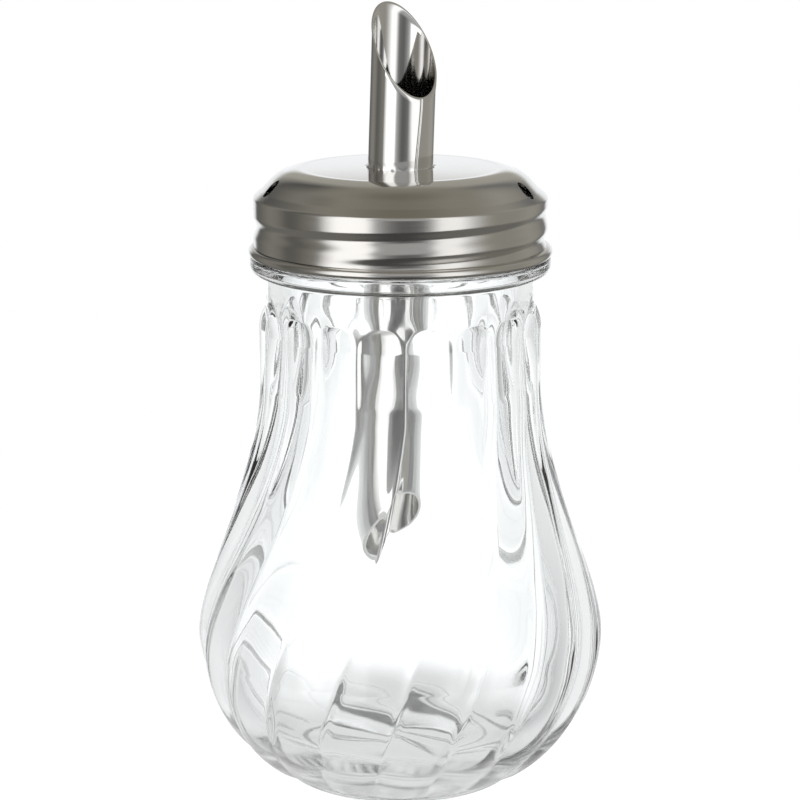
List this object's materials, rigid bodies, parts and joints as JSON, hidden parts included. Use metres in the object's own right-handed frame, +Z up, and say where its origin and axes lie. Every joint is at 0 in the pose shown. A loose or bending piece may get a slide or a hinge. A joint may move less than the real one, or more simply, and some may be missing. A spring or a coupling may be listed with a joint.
{
  "type": "sugar dispenser",
  "caption": "Pear-shaped glass sugar dispenser with swirling lobes, a pressed steel screw cap with vent holes, and an obliquely cut pouring tube through its top.",
  "frame": {"origin": "centre of the foot ring, on the surface that the jar stands on", "axes": "+Z up along the jar's axis, -Y to the front, +X to the right seen from the front"},
  "size_m": [0.0886, 0.088, 0.1672],
  "materials": {
    "jar_glass": "clear pressed soda-lime glass",
    "cap_steel": "satin polished",
    "tube_steel": "mirror polished",
    "seal_rubber": "soft matt"
  },
  "bodies": {
    "jar": {"glass_jar": "jar_glass"},
    "seal": {"sealing_ring": "seal_rubber"},
    "lid": {"screw_cap": "cap_steel", "pouring_tube": "tube_steel"}
  },
  "joints": [
    {"name": "lid_rise", "type": "slide", "parent": "jar", "child": "seal", "axis": [0, 0, 1], "range_m": [0, 0.0077]},
    {"name": "lid_turn", "type": "hinge", "parent": "seal", "child": "lid", "pos_m": [0, 0, 0.12], "axis": [0, 0, 1], "range_deg": [0, 540]}
  ],
  "couplings": [
    {"joint": "lid_rise", "follows": "lid_turn", "m_per_rad": 0.00080851}
  ]
}
